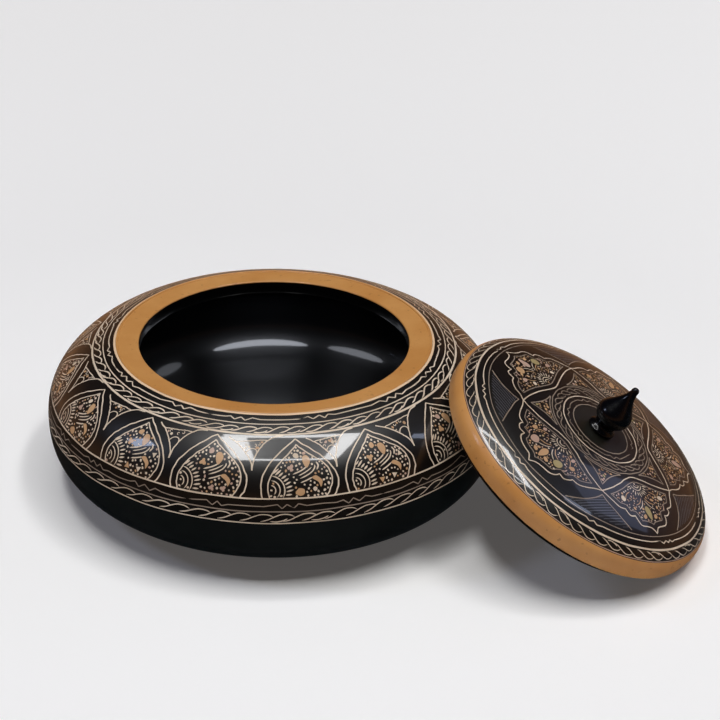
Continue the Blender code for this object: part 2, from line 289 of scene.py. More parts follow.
class Drawing:
    """Collects engraved lines and filled spots for one skin."""

    def __init__(self, skin):
        self.skin = skin
        self.verts, self.faces, self.index = [], [], []
        self.count = 0
        self.strokes = 0

    def lift(self):
        self.strokes += 1
        return (LIFT + LIFT_STEP * (self.strokes % LIFT_STEPS)) * MM

    def line(self, pts, width, ink=CREAM, closed=False, taper=0.0):
        pts = np.asarray(pts, float)
        if len(pts) < 2:
            return
        p, n = self.skin.at(pts)
        if closed:
            t = np.roll(p, -1, 0) - np.roll(p, 1, 0)
        else:
            t = np.gradient(p, axis=0)
        side = np.cross(n, t)
        side /= np.maximum(np.linalg.norm(side, axis=1), 1e-12)[:, None]
        w = np.full(len(p), 0.5 * width * MM)
        x = np.linspace(0.0, 1.0, len(p))
        # the width breathes a little along the stroke
        beat = x * len(p)
        w *= 1.0 + 0.10 * np.sin(beat * 0.21 + self.strokes * 1.7) * np.sin(beat * 0.083 + self.strokes)
        if taper > 0.0 and not closed:
            w *= np.clip(np.minimum(x, 1.0 - x) / taper, 0.25, 1.0)
        up = n * self.lift()
        both = np.empty((2 * len(p), 3))
        both[0::2] = p + side * w[:, None] + up
        both[1::2] = p - side * w[:, None] + up
        k = np.arange(len(p) if closed else len(p) - 1)
        k2 = (k + 1) % len(p)
        f = np.c_[2 * k, 2 * k + 1, 2 * k2 + 1, 2 * k2] + self.count
        self.verts.append(both)
        self.faces += [tuple(q) for q in f.tolist()]
        self.index += [ink] * len(f)
        self.count += len(both)

    def spot(self, outline, ink=CREAM):
        outline = np.asarray(outline, float)
        middle = outline.mean(0)[None]
        p, n = self.skin.at(np.vstack([middle, outline]))
        p = p + n * self.lift()
        m = len(outline)
        c = self.count
        area = np.cross(p[1] - p[0], p[2] - p[0]) @ n[0]
        for i in range(m):
            j = (i + 1) % m
            tri = (c, c + 1 + i, c + 1 + j)
            self.faces.append(tri if area > 0 else tri[::-1])
        self.index += [ink] * m
        self.verts.append(p)
        self.count += len(p)

    def build(self, name, materials):
        return make_object(name, np.vstack(self.verts).tolist(), self.faces, materials, self.index)


# ---------- flat drawing helpers
def wobble(count, rng, amount, waves=5, closed=True):
    x = np.linspace(0.0, TAU, count, endpoint=not closed)
    total = np.zeros(count)
    for _ in range(waves):
        k = rng.integers(2, 28) if closed else rng.uniform(1.0, 9.0)
        total += np.sin(k * x + rng.uniform(0.0, TAU))
    return amount * total / math.sqrt(waves)


def inside(points, polygon):
    x, y = points[:, 0], points[:, 1]
    hit = np.zeros(len(points), bool)
    q = np.roll(polygon, -1, 0)
    for (x1, y1), (x2, y2) in zip(polygon, q):
        cross = (y1 > y) != (y2 > y)
        if y1 != y2:
            hit ^= cross & (x < (x2 - x1) * (y - y1) / (y2 - y1) + x1)
    return hit


def distance_to(points, path):
    a, b = path[:-1], path[1:]
    ab = b - a
    ap = points[:, None] - a[None]
    t = np.clip((ap * ab).sum(2) / np.maximum((ab ** 2).sum(1), 1e-9), 0.0, 1.0)
    d = ap - ab * t[..., None]
    return np.hypot(d[..., 0], d[..., 1]).min(1)


def inset(polygon, amount):
    """Polygon moved inwards by amount along its vertex normals."""
    t = np.roll(polygon, -1, 0) - np.roll(polygon, 1, 0)
    t /= np.maximum(np.linalg.norm(t, axis=1), 1e-9)[:, None]
    n = np.c_[-t[:, 1], t[:, 0]]
    x, y = polygon.T
    area = 0.5 * np.sum(x * np.roll(y, -1) - np.roll(x, -1) * y)
    return polygon + n * (amount if area > 0 else -amount)


def disc_outline(centre, radius, rng, sides=8, stretch=1.0, turn=0.0):
    a = np.arange(sides) * TAU / sides + rng.uniform(0.0, TAU)
    r = radius * (1.0 + rng.uniform(-0.14, 0.14, sides))
    x, y = r * np.cos(a) * stretch, r * np.sin(a)
    c, s = math.cos(turn), math.sin(turn)
    return np.c_[centre[0] + c * x - s * y, centre[1] + s * x + c * y]


def arc(centre, radius, start, end, count=20):
    """Arc in mm; angles in degrees, counted up from +x, with y as drawn."""
    a = np.radians(np.linspace(start, end, count))
    return np.c_[centre[0] + radius * np.cos(a), centre[1] + radius * np.sin(a)]


class Field:
    """A bounded field of ornament: keeps what is drawn inside its edge and scatters dots in what is left."""

    def __init__(self, draw, to_skin, edge, rng):
        self.draw, self.to_skin, self.edge, self.rng = draw, to_skin, edge, rng
        self.ring = np.vstack([edge, edge[:1]])
        self.paths, self.shapes = [], []

    def stroke(self, pts, width, ink=CREAM, taper=0.12, shake=0.06):
        pts = np.asarray(pts, float)
        pts = pts + self.rng.normal(0.0, shake, 2)
        keep = inside(pts, self.edge)
        run = []
        for ok, q in zip(keep.tolist() + [False], list(pts) + [None]):
            if ok:
                run.append(q)
                continue
            if len(run) > 1:
                self.draw.line(self.to_skin(np.array(run)), width, ink, taper=taper)
                self.paths.append((np.array(run), 0.5 * width + 0.48))
            run = []

    def blob(self, outline, ink, room=0.42):
        outline = np.asarray(outline, float) + self.rng.normal(0.0, 0.10, 2)
        if not inside(outline, inset(self.edge, 0.3)).all():
            return
        self.draw.spot(self.to_skin(outline), ink)
        self.shapes.append(outline)
        self.paths.append((np.vstack([outline, outline[:1]]), room))

    def round(self, centre, radius, ink, stretch=1.0, turn=0.0):
        self.blob(disc_outline(centre, radius, self.rng, 11, stretch, turn), ink)

    def petals(self, centre, radius, ink):
        """A small three-lobed bloom."""
        turn = self.rng.uniform(0.0, TAU)
        for k in range(3):
            a = turn + k * TAU / 3.0
            where = (centre[0] + 0.62 * radius * math.cos(a), centre[1] + 0.62 * radius * math.sin(a))
            self.draw.spot(self.to_skin(disc_outline(where, 0.62 * radius, self.rng, 9)), ink)
        self.shapes.append(disc_outline(centre, 1.2 * radius, self.rng, 12))
        self.paths.append((np.array([centre, centre]) + [[0, 0], [0.01, 0]], 1.2 * radius + 0.35))

    def dots(self, gap, low, high, margin=0.62, tries=2400, light=0.70):
        rng = self.rng
        box_low, box_high = self.edge.min(0), self.edge.max(0)
        cand = rng.uniform(box_low, box_high, (tries, 2))
        cand = cand[inside(cand, self.edge)]
        cand = cand[distance_to(cand, self.ring) > margin]
        for path, room in self.paths:
            cand = cand[distance_to(cand, path) > room + 0.22]
        for shape in self.shapes:
            cand = cand[~inside(cand, shape)]
        kept = np.zeros((0, 2))
        for c in cand:
            if len(kept) and np.min(np.hypot(kept[:, 0] - c[0], kept[:, 1] - c[1])) < gap:
                continue
            kept = np.vstack([kept, c])
        for c in kept:
            r = rng.uniform(low, high)
            ink = CREAM if rng.uniform() < light else int(rng.choice((TAN, PINK)))
            shape = disc_outline(c, r, rng, 7, rng.uniform(0.95, 1.4), rng.uniform(0, TAU))
            self.draw.spot(self.to_skin(shape), ink)


def bowl_arch_fill(field, kind):
    """What grows in an arch; x across and y down the skin, from the arch's apex."""
    rng = field.rng
    hub = (-11.4, 33.6)
    for radius, width in ((5.6, 0.46), (3.75, 0.40), (2.0, 0.40)):
        field.stroke(arc(hub, radius, -88, 48, 26), width, shake=0.04)
    ticks = ((86, 42, 3.3), (73, 42, 3.3), (60, 38, 2.4), (47, 35, 2.4), (34, 27, 2.7), (21, 22, 2.7),
             (8, 18, 2.7), (-5, 12, 2.7), (-18, 8, 2.6))
    for at, way, length in ticks:
        at, way = math.radians(at), math.radians(way + rng.uniform(-4, 4))
        x, y = hub[0] + 6.25 * math.cos(at), hub[1] - 6.25 * math.sin(at)
        length *= rng.uniform(0.9, 1.1)
        seg = np.linspace((x, y), (x + length * math.cos(way), y - length * math.sin(way)), 4)
        field.stroke(seg, 0.68, taper=0.3)
    first = [(2.5, 20.1), (3.9, 19.9), (5.0, 20.8), (5.4, 22.2), (4.8, 23.8), (3.6, 25.1), (2.7, 24.1)]
    first += [(2.1, 22.4), (2.0, 21.1)]
    field.blob(catmull(first, 3, closed=True), TAN)
    field.round((3.3, 19.0), 0.62, PINK, 1.3)
    field.stroke(catmull([(3.5, 24.9), (1.2, 26.2), (-2.3, 27.5)], 7), 0.55)
    field.stroke(catmull([(0.0, 28.1), (1.9, 27.3), (3.9, 26.3), (5.8, 25.0)], 6), 0.42)
    field.stroke(catmull([(0.4, 29.4), (3.6, 28.1), (5.8, 26.8), (7.0, 25.3), (7.1, 24.2)], 6), 0.50)
    field.stroke(catmull([(0.6, 30.9), (3.3, 30.0), (5.6, 29.0)], 7), 0.50)
    field.stroke(catmull([(8.0, 23.0), (8.7, 24.5), (7.9, 26.2)], 5), 0.60)
    second = [(5.3, 29.0), (6.9, 28.3), (8.4, 29.2), (9.5, 30.5), (9.3, 31.9), (8.6, 33.0), (8.4, 31.7)]
    second += [(7.4, 30.6), (6.3, 29.9)]
    field.blob(catmull(second, 3, closed=True), TAN)
    field.petals((-3.1, 24.9), 1.25, TAN if kind != 1 else PINK)
    field.round((-0.4, 20.1), 1.12, (PINK, CREAM, TAN)[kind], 1.15, rng.uniform(0, 3))
    if kind == 0:
        field.petals((2.3, 34.2), 1.05, PINK)
        field.petals((7.0, 34.1), 1.0, PINK)
    elif kind == 1:
        field.round((0.4, 34.6), 1.45, TAN, 1.3)
        field.round((6.4, 33.6), 0.85, CREAM)
        field.round((0.6, 17.9), 0.6, CREAM)
    else:
        for x, y, r in ((-0.2, 34.2, 1.5), (5.4, 33.9, 1.45), (10.6, 26.6, 1.25)):
            field.blob(disc_outline((x, y), r, rng, 3), TAN if x < 2 else CREAM)
    field.dots(1.36, 0.34, 0.50)


def medallion_fill(field, kind):
    """What grows in a medallion of the lid; x across, y outwards from its inner edge."""
    rng = field.rng
    for radius in (1.5, 2.8):
        field.stroke(arc((0.0, 0.9), radius, 5, 175, 18), 0.36, shake=0.04)
    for k in range(11):
        a = math.radians(12.0 + 15.6 * k + rng.uniform(-3, 3))
        r0, r1 = 3.5, rng.uniform(5.1, 5.9)
        way = np.array((math.cos(a), math.sin(a)))
        field.stroke(np.linspace(r0 * way + (0.0, 0.9), r1 * way + (0.0, 0.9), 3), 0.52, taper=0.3)
    for side in (-1.0, 1.0):
        flip = np.array((side, 1.0))
        field.stroke(catmull(np.array([(1.0, 7.2), (2.9, 9.3), (5.6, 10.3)]) * flip, 6), 0.36, TAN)
        field.stroke(catmull(np.array([(0.5, 8.2), (2.1, 10.6), (4.6, 12.2)]) * flip, 6), 0.36)
        field.stroke(catmull(np.array([(5.6, 4.2), (8.3, 5.4), (10.2, 7.8)]) * flip, 6), 0.34, TAN)
        leaf = [(4.8, 12.4), (5.4, 10.7), (6.9, 9.7), (8.4, 10.4), (8.7, 12.1), (7.7, 13.6), (6.1, 13.7)]
        leaf_ink = (TAN, OLIVE, PINK)[(kind + (side > 0)) % 3]
        field.blob(catmull(np.array(leaf) * flip, 3, closed=True), leaf_ink)
        far_ink, near_ink = (PINK, TAN, CREAM)[kind % 3], (CREAM, PINK, TAN)[kind % 3]
        field.round((side * 11.0, 7.2), 1.05, far_ink, 1.3, rng.uniform(0, 3))
        field.round((side * 8.4, 3.6), 0.8, near_ink, 1.4, rng.uniform(0, 3))
        field.stroke(catmull(np.array([(9.5, 12.6), (10.6, 11.4), (10.6, 9.8)]) * flip, 4), 0.5, PINK)
        field.round((side * 3.1, 15.3), 0.85, TAN, 1.5, rng.uniform(0, 3))
    drop = [(0.0, 16.9), (-1.3, 14.2), (-1.2, 11.9), (0.1, 10.7), (1.4, 11.9), (1.4, 14.0)]
    field.blob(catmull(drop, 3, closed=True), (PINK, TAN, OLIVE)[kind % 3])
    scatter(field, 1.9, (0.34, 0.62), (TAN, TAN, PINK, TAN, OLIVE), ink=TAN)
    field.dots(1.05, 0.24, 0.38, 0.55, light=0.38)


def scatter(field, gap, sizes, inks, ink=CREAM):
    """Curls in one ink and beads in several, in what room a field has left."""
    rng = field.rng
    low, high = field.edge.min(0), field.edge.max(0)
    kept = np.zeros((0, 2))
    for c in rng.uniform(low, high, (500, 2)):
        if not inside(c[None], field.edge)[0]:
            continue
        if distance_to(c[None], field.ring)[0] < sizes[0] + 0.35:
            continue
        if len(kept) and np.min(np.hypot(kept[:, 0] - c[0], kept[:, 1] - c[1])) < gap:
            continue
        if any(distance_to(c[None], path)[0] < room + sizes[0] for path, room in field.paths):
            continue
        if any(inside(c[None], shape)[0] for shape in field.shapes):
            continue
        kept = np.vstack([kept, c])
    for k, c in enumerate(kept):
        fill = int(rng.choice(inks))
        if k % 3 == 1:
            a = np.linspace(0.0, 4.4, 10) + rng.uniform(0.0, TAU)
            r = np.linspace(sizes[1], 0.5 * sizes[1], 10)
            field.stroke(np.c_[c[0] + r * np.cos(a), c[1] + r * np.sin(a)], 0.30, ink)
        else:
            field.round(c, rng.uniform(*sizes), fill, rng.uniform(1.0, 1.6), rng.uniform(0, TAU))


# ---------- materials
DRIFT_NOISE = {"Scale": 38.0, "Detail": 5.0, "Roughness": 0.62}
SPECK_NOISE = {"Scale": 420.0, "Detail": 2.0}
GRAIN_NOISE, GRAIN_DEPTH = {"Scale": 55.0, "Detail": 3.0}, 0.0006
SHEEN_TINT = (0.60, 0.36, 0.22, 1.0)


def set_inputs(node, values):
    for socket, value in values.items():
        node.inputs[socket].default_value = value


def set_ramp(node, stops):
    """Colour stops of a ramp: the two it comes with take the ends, new ones go between."""
    elements = node.color_ramp.elements
    elements[0].position, elements[1].position = stops[0][0], stops[-1][0]
    elements[0].color, elements[1].color = (*stops[0][1], 1.0), (*stops[-1][1], 1.0)
    for position, colour in stops[1:-1]:
        elements.new(position).color = (*colour, 1.0)


def material(name, colour, roughness, coat, coat_rough, sheen=0.0, second=None, grain=0.0, speck=0.0):
    """Lacquer: base colour drifting to a second one, with dark specks and an uneven polish."""
    m = bpy.data.materials.new(name)
    m.use_nodes = True
    nodes, links = m.node_tree.nodes, m.node_tree.links
    p = nodes["Principled BSDF"]
    set_inputs(p, {"Base Color": (*colour, 1.0), "Roughness": roughness,
                   "Coat Weight": coat, "Coat Roughness": coat_rough, "Coat IOR": 1.5,
                   "Sheen Weight": sheen, "Sheen Roughness": 0.45, "Sheen Tint": SHEEN_TINT})
    coord = nodes.new("ShaderNodeTexCoord")
    if second:
        noise = nodes.new("ShaderNodeTexNoise")
        set_inputs(noise, DRIFT_NOISE)
        links.new(coord.outputs["Object"], noise.inputs["Vector"])
        ramp = nodes.new("ShaderNodeValToRGB")
        set_ramp(ramp, ((0.35, colour), (0.68, second)))
        links.new(noise.outputs["Fac"], ramp.inputs["Fac"])
        last = ramp.outputs["Color"]
        if speck > 0.0:
            spots = nodes.new("ShaderNodeTexNoise")
            set_inputs(spots, SPECK_NOISE)
            links.new(coord.outputs["Object"], spots.inputs["Vector"])
            cut = nodes.new("ShaderNodeValToRGB")
            cut.color_ramp.elements[0].position = 0.66
            cut.color_ramp.elements[1].position = 0.74
            links.new(spots.outputs["Fac"], cut.inputs["Fac"])
            mix = nodes.new("ShaderNodeMix")
            mix.data_type = "RGBA"
            scale = nodes.new("ShaderNodeMath")
            scale.operation = "MULTIPLY"
            scale.inputs[1].default_value = speck
            links.new(cut.outputs["Color"], scale.inputs[0])
            links.new(scale.outputs[0], mix.inputs[0])
            links.new(last, mix.inputs[6])
            mix.inputs[7].default_value = (colour[0] * 0.35, colour[1] * 0.28, colour[2] * 0.3, 1.0)
            last = mix.outputs[2]
        links.new(last, p.inputs["Base Color"])
    if grain > 0.0:
        fine = nodes.new("ShaderNodeTexNoise")
        set_inputs(fine, GRAIN_NOISE)
        links.new(coord.outputs["Object"], fine.inputs["Vector"])
        bump = nodes.new("ShaderNodeBump")
        set_inputs(bump, {"Strength": grain, "Distance": GRAIN_DEPTH})
        links.new(fine.outputs["Fac"], bump.inputs["Height"])
        links.new(bump.outputs["Normal"], p.inputs["Normal"])
        links.new(bump.outputs["Normal"], p.inputs["Coat Normal"])
    return m


BLACK = material("black_lacquer", (0.0022, 0.0017, 0.0015), 0.34, 0.78, 0.050, 0.05,
                 (0.0048, 0.0030, 0.0022), 0.05)
BAND = material("lower_band", (0.0042, 0.0030, 0.0022), 0.42, 0.16, 0.16, 0.02,
                (0.0095, 0.0062, 0.0038), 0.06)
INSIDE = material("inside_lacquer", (0.0008, 0.0009, 0.0013), 0.35, 0.55, 0.08, 0.0,
                  (0.0014, 0.0015, 0.0020), 0.05)
SATIN = material("satin_lacquer", (0.0050, 0.0076, 0.0078), 0.48, 0.0, 0.30, 0.0,
                 (0.0075, 0.0105, 0.0108), 0.06)
KNOB = material("knob_lacquer", (0.0010, 0.0011, 0.0022), 0.24, 0.42, 0.05)
for low_gloss in (SATIN, BAND, INSIDE, KNOB):
    low_gloss.node_tree.nodes["Principled BSDF"].inputs["Specular IOR Level"].default_value = 0.20
GOLD = material("ochre_lacquer", (0.55, 0.245, 0.062), 0.42, 0.40, 0.16, 0.0, (0.63, 0.310, 0.095), 0.06, 0.4)
# paler than the ochre: a painted highlight on the raised outer bead of the seat
HIGHLIGHT_LACQUER = material("painted_bead_highlight", (0.66, 0.38, 0.18), 0.36, 0.5, 0.12)
DISC = material("olive_black", (0.0050, 0.0048, 0.0030), 0.42, 0.22, 0.24, 0.0,
                (0.008, 0.0075, 0.0045), 0.05)
INKS = [
    material("engraved_cream", (0.78, 0.66, 0.52), 0.50, 0.35, 0.09, 0.0, (0.56, 0.43, 0.30)),
    material("engraved_tan", (0.58, 0.36, 0.19), 0.50, 0.35, 0.09, 0.0, (0.45, 0.25, 0.115)),
    material("engraved_pink", (0.55, 0.39, 0.31), 0.50, 0.45, 0.09, 0.0, (0.44, 0.27, 0.19)),
    material("engraved_olive", (0.36, 0.31, 0.13), 0.50, 0.45, 0.09, 0.0, (0.42, 0.29, 0.15)),
    # cream of the line along the seat's edge: a painted highlight of the raised edge
    material("painted_edge_highlight", (0.86, 0.62, 0.40), 0.38, 0.5, 0.10),
    material("engraved_grey", (0.13, 0.13, 0.15), 0.45, 0.6, 0.08),
    material("engraved_dim", (0.36, 0.285, 0.22), 0.50, 0.45, 0.09, 0.0, (0.24, 0.175, 0.125)),
]


# ---------- where the lid stands
def lid_place():
    """Frame of the lid: origin in its widest plane, Z along its axis."""
    axis = Vector(next(j for j in frame["joints"] if j["name"] == "lid_lift")["axis"]).normalized()
    verts = np.array([v.co for v in frame["nodes"]["lid"].data.vertices])
    a = np.array(axis)
    h = verts @ a
    # the lowest points lie on the spigot's foot, in rings centred on the axis
    ring = verts[h < h.min() + SAME_HEIGHT * MM]
    centre = ring.mean(0) + a * (RIM_H + SPIGOT_H) * MM
    z = axis
    x = Vector((z.x, z.y, 0.0)).normalized()
    x = (x - z * x.dot(z)).normalized()
    y = z.cross(x)
    m = Matrix.Identity(4)
    for i in range(3):
        m[i][0], m[i][1], m[i][2], m[i][3] = x[i], y[i], z[i], centre[i]
    return m


LID = lid_place()
KNOB_AT = LID @ Matrix.Translation((0.0, 0.0, DOME_H * MM))

bowl = lathe("bowl_turned", bowl_profile(), BOWL_SEGMENTS,
             {"outside": OUTSIDE, "inside": HOLLOW, "gold": OCHRE, "edge": BEAD_HIGHLIGHT, "foot": FOOT},
             [BLACK, INSIDE, GOLD, HIGHLIGHT_LACQUER, SATIN, BAND], Matrix.Identity(4))
lid = lathe("lid_turned", lid_profile(), LID_SEGMENTS, {"dome": 0, "disc": 1, "gold": 2, "under": 3},
            [BLACK, DISC, GOLD, INSIDE], LID)
knob = lathe("knob_turned", knob_profile(), KNOB_SEGMENTS, {"knob": 0}, [KNOB], KNOB_AT)

bowl_skin = BowlSkin(Matrix.Identity(4))
lid_skin = LidSkin(LID)


def paint_lower_belly():
    """The lower border has its own brownish black, and below its last line the bowl is satin."""
    z_b, z_c = (float(np.interp(s, bowl_skin.s, bowl_skin.z)) * MM for s in (LINE_B_S, LINE_C_S + 0.4))
    for poly in bowl.data.polygons:
        if poly.material_index == OUTSIDE and poly.center.z < z_b:
            poly.material_index = FOOT if poly.center.z < z_c else LOWER_BAND


paint_lower_belly()


# ---------- bowl ornament
def ring_line(draw, s, width, rng, amount=0.10, ink=CREAM, count=560):
    u = np.linspace(-180.0, 180.0, count, endpoint=False)
    draw.line(np.c_[u, s + wobble(count, rng, amount)], width, ink, closed=True)


def wave_path(base, groups, rng, size, half, span=360.0):
    """A plain line that breaks into a short zigzag every so often; x in degrees."""
    x, y = [], []
    step = span / groups
    for k in range(groups):
        at = k * step + rng.uniform(-0.12, 0.12) * step
        level = base + rng.uniform(-0.18, 0.18)
        turns = int(rng.integers(4, 7))
        for q in range(turns):
            x.append(at)
            y.append(level + size * (1 if q % 2 else -1) * rng.uniform(0.75, 1.1))
            at += half * rng.uniform(0.75, 1.3)
        end = (k + 0.86) * step
        flat = np.linspace(at + 0.4 * half, max(end, at + half), 8)
        sag = rng.uniform(-0.45, 0.45) * np.sin(np.linspace(0.0, math.pi, 8))
        x += flat.tolist()
        y += (level + sag).tolist()
    return np.c_[x, y]


def broken(draw, path, width, to_skin, scale, rng, gaps=0.0, ink=CREAM):
    """Draws a path at even steps so that its corners stay crisp, with the odd gap."""
    d = np.r_[0.0, np.cumsum(np.hypot(np.diff(path[:, 0]) * scale, np.diff(path[:, 1])))]
    n = int(d[-1] / 0.42)
    x = np.linspace(0.0, d[-1], n)
    pts = np.c_[np.interp(x, d, path[:, 0]), np.interp(x, d, path[:, 1])]
    start = 0
    while start < n - 3:
        end = min(n, start + int(rng.uniform(70, 190)))
        draw.line(to_skin(pts[start:end]), width, ink, taper=0.03)
        start = end - 1 + (int(rng.uniform(1, 4)) if rng.uniform() < gaps else 0)


def chain(draw, mid, amplitude, strokes, rng, width, to_skin, way=1.0, both=0.6, ink=CREAM):
    """Rope border: overlapping S strokes, some with the lower strand shown."""
    step = 360.0 / strokes
    upper = [(-0.62, 1.05), (-0.30, 0.55), (0.02, -0.35), (0.34, -1.0), (0.68, -0.95), (0.92, -0.35)]
    lower = [(-0.18, 0.98), (0.12, 1.10), (0.42, 0.72), (0.60, 0.20)]
    for k in range(strokes):
        centre = (k + rng.uniform(-0.08, 0.08)) * step
        size = amplitude * rng.uniform(0.86, 1.12)
        shift = rng.uniform(-0.14, 0.14)
        for shape, chance in ((upper, 1.0), (lower, both)):
            if rng.uniform() > chance:
                continue
            p = catmull(shape, 5)
            pts = np.c_[centre + p[:, 0] * step * 1.04, mid + shift + way * size * p[:, 1]]
            draw.line(to_skin(pts), width * rng.uniform(0.9, 1.15), ink, taper=0.10)


# arch outlines: x in mm across from the apex, y in mm down the skin from the seat
OUTER_LEFT = [(-14.6, 36.9), (-15.2, 34.0), (-15.4, 31.5), (-14.9, 28.6), (-13.8, 25.9), (-12.2, 23.4),
              (-10.2, 21.0), (-7.8, 18.6), (-5.2, 16.4), (-2.5, 14.3), (0.0, 12.6)]
OUTER_RIGHT = [(0.0, 12.6), (2.3, 14.4), (5.2, 16.4), (8.0, 18.4), (10.7, 20.7), (12.7, 22.9),
               (14.5, 25.5), (15.8, 28.0), (16.3, 30.6), (16.0, 33.0), (15.1, 35.0), (13.9, 36.9)]
INNER_LEFT = [(-11.7, 36.9), (-12.4, 34.3), (-12.6, 32.2), (-12.1, 29.7), (-10.8, 27.0), (-9.0, 24.3),
              (-6.7, 21.8), (-4.2, 19.4), (-1.8, 17.2), (0.2, 15.0)]
INNER_RIGHT = [(0.2, 15.2), (2.3, 17.1), (5.1, 19.1), (8.0, 21.2), (10.6, 23.2), (12.5, 25.4),
               (13.5, 27.8), (13.8, 30.2), (13.3, 32.5), (12.2, 34.6), (10.6, 36.9)]
# the pointed field that hangs between two arches: x in degrees from its tip
SPANDREL_LEFT = [(-7.4, 12.9), (-5.1, 14.8), (-3.5, 16.7), (-2.0, 19.2), (-1.0, 21.3),
                 (-0.25, 23.5), (0.0, 26.2)]
SPANDREL_RIGHT = [(8.2, 11.3), (5.8, 11.8), (4.1, 13.1), (2.7, 15.0), (1.5, 17.5),
                  (0.75, 20.0), (0.25, 22.3), (0.0, 26.2)]
SPANDREL_TOP = [(-5.0, 14.7), (-3.0, 14.2), (-0.5, 13.8), (1.5, 13.4), (3.6, 13.4)]
SPANDREL_BRIDGE = [(-2.05, 19.3), (-1.2, 17.7), (-0.1, 17.2), (0.75, 17.8), (1.0, 19.2)]
ARCH_MM_PER_DEG, SPANDREL_MM_PER_DEG = 1.68, 1.52


def arch_angles():
    front = list(ARCH_ANGLES)
    rest = ARCHES - len(front)
    step = (front[0] + 360.0 - front[-1]) / (rest + 1)
    return front + [front[-1] + step * (k + 1) for k in range(rest)]


def hand(path, rng, amount=0.09):
    """A smooth path as a hand would cut it."""
    p = catmull(path, 5)
    return p + np.c_[wobble(len(p), rng, amount, 3, False), wobble(len(p), rng, amount, 3, False)]


def draw_bowl():
    rng = np.random.default_rng(41)
    draw = Drawing(bowl_skin)

    def ring_to_skin(p):
        return np.c_[p[:, 0] - 180.0, p[:, 1]]

    # cream line along the seat's outer edge: a painted highlight of its raised edge
    ring_line(draw, HIGHLIGHT_LINE_S, 0.95, rng, 0.03, HIGHLIGHT_INK)
    broken(draw, wave_path(WAVE_1_S, 15, rng, 0.80, 1.75), 0.50, ring_to_skin, 1.3, rng, 0.3)
    ring_line(draw, FINE_1_S, 0.50, rng)
    chain(draw, CHAIN_1_S, 1.35, 74, rng, 0.50, ring_to_skin, both=0.45)
    ring_line(draw, LINE_A_S, BOLD, rng, 0.06)
    ring_line(draw, LINE_B_S, 0.60, rng, 0.07)
    broken(draw, wave_path(WAVE_2_S, 22, rng, 0.88, 1.25), 0.40, ring_to_skin, 1.7, rng, 0.3, DIM)
    ring_line(draw, FINE_2_S, 0.46, rng, ink=DIM)
    chain(draw, CHAIN_2_S, 1.45, 76, rng, 0.44, ring_to_skin, both=0.15)
    ring_line(draw, LINE_C_S, 0.52, rng)
    angles = arch_angles()
    for k, apex in enumerate(angles):
        nxt = angles[(k + 1) % ARCHES] + (360.0 if k + 1 == ARCHES else 0.0)
        prev = angles[k - 1] - (360.0 if k == 0 else 0.0)
        squeeze = 0.5 + 0.25 * (nxt - prev) / (360.0 / ARCHES)
        drop = rng.uniform(-0.3, 0.5)

        def to_skin(p, apex=apex, squeeze=squeeze, drop=drop):
            fall = (LINE_B_S - p[:, 1]) / (LINE_B_S - OUTER_LEFT[-1][1])
            return np.c_[apex + p[:, 0] * squeeze / ARCH_MM_PER_DEG, p[:, 1] + drop * fall]

        outer_left, outer_right = hand(OUTER_LEFT, rng), hand(OUTER_RIGHT, rng)
        outer_right[0] = outer_left[-1]
        inner_left, inner_right = hand(INNER_LEFT, rng), hand(INNER_RIGHT, rng)
        for path in (outer_left, outer_right):
            draw.line(to_skin(path), 0.54)
        for path in (inner_left, inner_right):
            draw.line(to_skin(path), 0.50)
        field = Field(draw, to_skin, np.vstack([inner_left, inner_right]), rng)
        bowl_arch_fill(field, (k * 7 + 1) % 3)
        tip = apex + (nxt - apex) * (0.485 + rng.uniform(-0.01, 0.01))
        wide = (nxt - apex) / (360.0 / ARCHES)

        def spandrel(p, tip=tip, wide=wide):
            return np.c_[tip + p[:, 0] * wide / SPANDREL_MM_PER_DEG, p[:, 1]]

        scale = np.array((SPANDREL_MM_PER_DEG, 1.0))
        sides = (SPANDREL_LEFT, SPANDREL_RIGHT, SPANDREL_TOP)
        left, right, top = (hand(np.array(q) * scale, rng, 0.07) for q in sides)
        draw.line(spandrel(left), 0.52)
        draw.line(spandrel(right), 0.52)
        draw.line(spandrel(top), 0.42)
        bridge = catmull(np.array(SPANDREL_BRIDGE) * scale, 5)
        draw.line(spandrel(bridge), 0.40)
        edge = np.vstack([top, right[14:23], bridge[::-1], left[5:14][::-1]])
        beads = (CREAM, CREAM, TAN, TAN, PINK)
        scatter(Field(draw, spandrel, edge, rng), 1.35, (0.40, 0.68), beads)
    return draw


# ---------- lid ornament
def polar(r, deg):
    t = np.radians(deg)
    return np.c_[np.asarray(r) * np.cos(t), np.asarray(r) * np.sin(t)]


def lid_circle(draw, r, width, rng, amount=0.10, count=480, ink=CREAM):
    a = np.linspace(0.0, 360.0, count, endpoint=False)
    draw.line(polar(r + wobble(count, rng, amount), a), width, ink, closed=True)


def side_curve(a0, a1):
    """Concave side of the five-cornered field between two corners."""
    span = a1 - a0
    t = np.array([0.0, 0.10, 0.22, 0.36, 0.5, 0.64, 0.78, 0.90, 1.0])
    r = SIDE_MID_R + (VERTEX_R - SIDE_MID_R) * np.array([1.0, 0.71, 0.40, 0.115, 0.0, 0.115, 0.40, 0.71, 1.0])
    return catmull(polar(r, a0 + span * t), 10)


# outline of half a medallion, in three cusped runs: share of the way between two corners, radius
LOBES = (((0.0, 36.9), (0.06, 37.9), (0.12, 39.8), (0.18, 41.2), (0.235, 41.2)),
         ((0.235, 41.2), (0.25, 42.7), (0.285, 43.8), (0.325, 43.3)),
         ((0.325, 43.3), (0.338, 45.2), (0.37, 46.8), (0.43, 47.2), (0.47, 47.8), (0.5, 49.8)))


